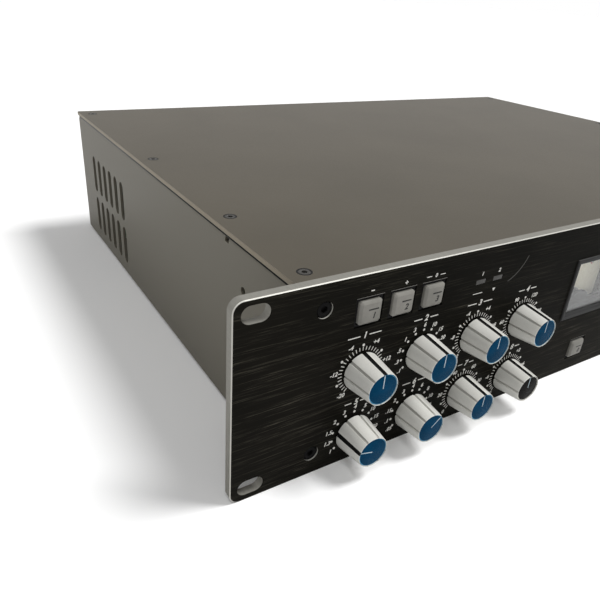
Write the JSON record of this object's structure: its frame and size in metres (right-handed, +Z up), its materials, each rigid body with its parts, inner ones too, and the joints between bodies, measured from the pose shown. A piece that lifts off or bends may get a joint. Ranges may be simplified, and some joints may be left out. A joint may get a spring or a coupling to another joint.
{
  "type": "rack compressor",
  "caption": "Rack-mount stereo audio compressor: black brushed panel with ribbed grey knobs, square keys and meters on a shallow folded-steel chassis.",
  "frame": {"origin": "centre of the front panel's rear face, which meets the rack's rails, midway between the four rack slots", "axes": "+X to the right along the panel as seen from in front, +Y to the back through the chassis, +Z up"},
  "size_m": [0.4826, 0.3268, 0.0882],
  "materials": {
    "panel_black": "black anodised, brushed lengthwise, satin",
    "case_paint": "fine satin powder coat, dark warm grey",
    "black_steel": "blackened, satin",
    "plain_steel": "zinc plated",
    "black_plastic": "matte",
    "indicator_grey": "translucent, unlit",
    "meter_glass": "clear",
    "scale_card": "printed card",
    "board_green": "solder mask",
    "transformer_wrap": "taped winding; iron and copper inside",
    "capacitor_sleeve": "sleeved can",
    "heatsink_black": "black anodised",
    "knob_grey": "satin, light grey, with a gloss cap",
    "key_grey": "satin, warm grey",
    "needle_black": "matte black"
  },
  "bodies": {
    "chassis": {"board_connectors": "black_plastic", "board_screws": "plain_steel", "board_standoffs": "plain_steel", "chassis_tray": "case_paint", "control_boards": "board_green", "cover_screws": "black_steel", "front_panel": "panel_black", "front_panel_screws": "black_steel", "heatsink": "heatsink_black", "indicator_windows": "indicator_grey", "input_sockets": "black_plastic", "key_housings": "black_plastic", "main_board": "board_green", "mains_inlet": "black_plastic", "mains_transformer": "transformer_wrap", "meter_bezels": "black_plastic", "meter_housings": "black_plastic", "meter_scales": "scale_card", "meter_windows": "meter_glass", "output_sockets": "black_plastic", "potentiometer_nuts": "plain_steel", "potentiometers": "plain_steel", "power_supply_board": "board_green", "power_switch_housing": "black_plastic", "rear_panel": "case_paint", "rear_panel_screws": "black_steel", "reservoir_capacitors": "capacitor_sleeve", "socket_screws": "black_steel", "top_cover": "case_paint", "transformer_clamp": "plain_steel"},
    "knob_threshold_1": {"knob_threshold_1": "knob_grey"},
    "knob_attack_1": {"knob_attack_1": "knob_grey"},
    "knob_make_up_1": {"knob_make_up_1": "knob_grey"},
    "press_pin_1": {"press_pin_1": "plain_steel"},
    "knob_filter_1": {"knob_filter_1": "knob_grey"},
    "knob_ratio_1": {"knob_ratio_1": "knob_grey"},
    "knob_release_1": {"knob_release_1": "knob_grey"},
    "knob_mix_1": {"knob_mix_1": "knob_grey"},
    "knob_trim_1": {"knob_trim_1": "knob_grey"},
    "knob_threshold_2": {"knob_threshold_2": "knob_grey"},
    "knob_attack_2": {"knob_attack_2": "knob_grey"},
    "knob_make_up_2": {"knob_make_up_2": "knob_grey"},
    "press_pin_2": {"press_pin_2": "plain_steel"},
    "knob_filter_2": {"knob_filter_2": "knob_grey"},
    "knob_ratio_2": {"knob_ratio_2": "knob_grey"},
    "knob_release_2": {"knob_release_2": "knob_grey"},
    "knob_mix_2": {"knob_mix_2": "knob_grey"},
    "knob_trim_2": {"knob_trim_2": "knob_grey"},
    "key_first_1": {"key_first_1": "key_grey"},
    "key_second_1": {"key_second_1": "key_grey"},
    "key_third_1": {"key_third_1": "key_grey"},
    "key_in_1": {"key_in_1": "key_grey"},
    "needle_1": {"needle_1": "needle_black"},
    "key_first_2": {"key_first_2": "key_grey"},
    "key_second_2": {"key_second_2": "key_grey"},
    "key_third_2": {"key_third_2": "key_grey"},
    "key_in_2": {"key_in_2": "key_grey"},
    "needle_2": {"needle_2": "needle_black"},
    "power_rocker": {"power_rocker": "black_plastic"},
    "fuse_drawer": {"fuse_drawer": "black_plastic"}
  },
  "joints": [
    {"name": "turn_threshold_1", "type": "hinge", "parent": "chassis", "child": "knob_threshold_1", "pos_m": [-0.1853, 0, 0.0017], "axis": [0, 1, 0], "range_deg": [-150, 150]},
    {"name": "turn_attack_1", "type": "hinge", "parent": "chassis", "child": "knob_attack_1", "pos_m": [-0.1539, 0, 0.0017], "axis": [0, 1, 0], "range_deg": [-125, 125]},
    {"name": "turn_make_up_1", "type": "hinge", "parent": "press_pin_1", "child": "knob_make_up_1", "pos_m": [-0.1225, 0, 0.0017], "axis": [0, 1, 0], "range_deg": [-150, 150]},
    {"name": "press_make_up_1", "type": "slide", "parent": "chassis", "child": "press_pin_1", "axis": [0, 1, 0], "range_m": [0, 0.0005], "stiffness_N_per_m": 4000},
    {"name": "turn_filter_1", "type": "hinge", "parent": "chassis", "child": "knob_filter_1", "pos_m": [-0.0911, 0, 0.0017], "axis": [0, 1, 0], "range_deg": [-150, 150]},
    {"name": "turn_ratio_1", "type": "hinge", "parent": "chassis", "child": "knob_ratio_1", "pos_m": [-0.1853, 0, -0.0292], "axis": [0, 1, 0], "range_deg": [-50, 200]},
    {"name": "turn_release_1", "type": "hinge", "parent": "chassis", "child": "knob_release_1", "pos_m": [-0.1539, 0, -0.0292], "axis": [0, 1, 0], "range_deg": [-175, 75]},
    {"name": "turn_mix_1", "type": "hinge", "parent": "chassis", "child": "knob_mix_1", "pos_m": [-0.1225, 0, -0.0292], "axis": [0, 1, 0], "range_deg": [-150, 150]},
    {"name": "turn_trim_1", "type": "hinge", "parent": "chassis", "child": "knob_trim_1", "pos_m": [-0.0911, 0, -0.0292], "axis": [0, 1, 0], "range_deg": [-150, 150]},
    {"name": "turn_threshold_2", "type": "hinge", "parent": "chassis", "child": "knob_threshold_2", "pos_m": [0.0911, 0, 0.0017], "axis": [0, 1, 0], "range_deg": [-150, 150]},
    {"name": "turn_attack_2", "type": "hinge", "parent": "chassis", "child": "knob_attack_2", "pos_m": [0.1225, 0, 0.0017], "axis": [0, 1, 0], "range_deg": [-125, 125]},
    {"name": "turn_make_up_2", "type": "hinge", "parent": "press_pin_2", "child": "knob_make_up_2", "pos_m": [0.1539, 0, 0.0017], "axis": [0, 1, 0], "range_deg": [-150, 150]},
    {"name": "press_make_up_2", "type": "slide", "parent": "chassis", "child": "press_pin_2", "axis": [0, 1, 0], "range_m": [0, 0.0005], "stiffness_N_per_m": 4000},
    {"name": "turn_filter_2", "type": "hinge", "parent": "chassis", "child": "knob_filter_2", "pos_m": [0.1853, 0, 0.0017], "axis": [0, 1, 0], "range_deg": [-150, 150]},
    {"name": "turn_ratio_2", "type": "hinge", "parent": "chassis", "child": "knob_ratio_2", "pos_m": [0.0911, 0, -0.0292], "axis": [0, 1, 0], "range_deg": [-50, 200]},
    {"name": "turn_release_2", "type": "hinge", "parent": "chassis", "child": "knob_release_2", "pos_m": [0.1225, 0, -0.0292], "axis": [0, 1, 0], "range_deg": [-175, 75]},
    {"name": "turn_mix_2", "type": "hinge", "parent": "chassis", "child": "knob_mix_2", "pos_m": [0.1539, 0, -0.0292], "axis": [0, 1, 0], "range_deg": [-150, 150]},
    {"name": "turn_trim_2", "type": "hinge", "parent": "chassis", "child": "knob_trim_2", "pos_m": [0.1853, 0, -0.0292], "axis": [0, 1, 0], "range_deg": [-150, 150]},
    {"name": "push_key_first_1", "type": "slide", "parent": "chassis", "child": "key_first_1", "axis": [0, 1, 0], "range_m": [0, 0.001], "stiffness_N_per_m": 1500},
    {"name": "push_key_second_1", "type": "slide", "parent": "chassis", "child": "key_second_1", "axis": [0, 1, 0], "range_m": [0, 0.001], "stiffness_N_per_m": 1500},
    {"name": "push_key_third_1", "type": "slide", "parent": "chassis", "child": "key_third_1", "axis": [0, 1, 0], "range_m": [0, 0.001], "stiffness_N_per_m": 1500},
    {"name": "push_key_in_1", "type": "slide", "parent": "chassis", "child": "key_in_1", "axis": [0, 1, 0], "range_m": [0, 0.001], "stiffness_N_per_m": 1500},
    {"name": "swing_needle_1", "type": "hinge", "parent": "chassis", "child": "needle_1", "pos_m": [-0.034, 0.008, -0.001], "axis": [0, 1, 0], "range_deg": [0, 84], "stiffness_Nm_per_rad": 0.0002},
    {"name": "push_key_first_2", "type": "slide", "parent": "chassis", "child": "key_first_2", "axis": [0, 1, 0], "range_m": [0, 0.001], "stiffness_N_per_m": 1500},
    {"name": "push_key_second_2", "type": "slide", "parent": "chassis", "child": "key_second_2", "axis": [0, 1, 0], "range_m": [0, 0.001], "stiffness_N_per_m": 1500},
    {"name": "push_key_third_2", "type": "slide", "parent": "chassis", "child": "key_third_2", "axis": [0, 1, 0], "range_m": [0, 0.001], "stiffness_N_per_m": 1500},
    {"name": "push_key_in_2", "type": "slide", "parent": "chassis", "child": "key_in_2", "axis": [0, 1, 0], "range_m": [0, 0.001], "stiffness_N_per_m": 1500},
    {"name": "swing_needle_2", "type": "hinge", "parent": "chassis", "child": "needle_2", "pos_m": [0.034, 0.008, -0.001], "axis": [0, 1, 0], "range_deg": [0, 84], "stiffness_Nm_per_rad": 0.0002},
    {"name": "tilt_power_rocker", "type": "hinge", "parent": "chassis", "child": "power_rocker", "pos_m": [-0.128, 0.3035, 0], "axis": [1, 0, 0], "range_deg": [-18, 0]},
    {"name": "pull_fuse_drawer", "type": "slide", "parent": "chassis", "child": "fuse_drawer", "axis": [0, 1, 0], "range_m": [0, 0.014]}
  ]
}
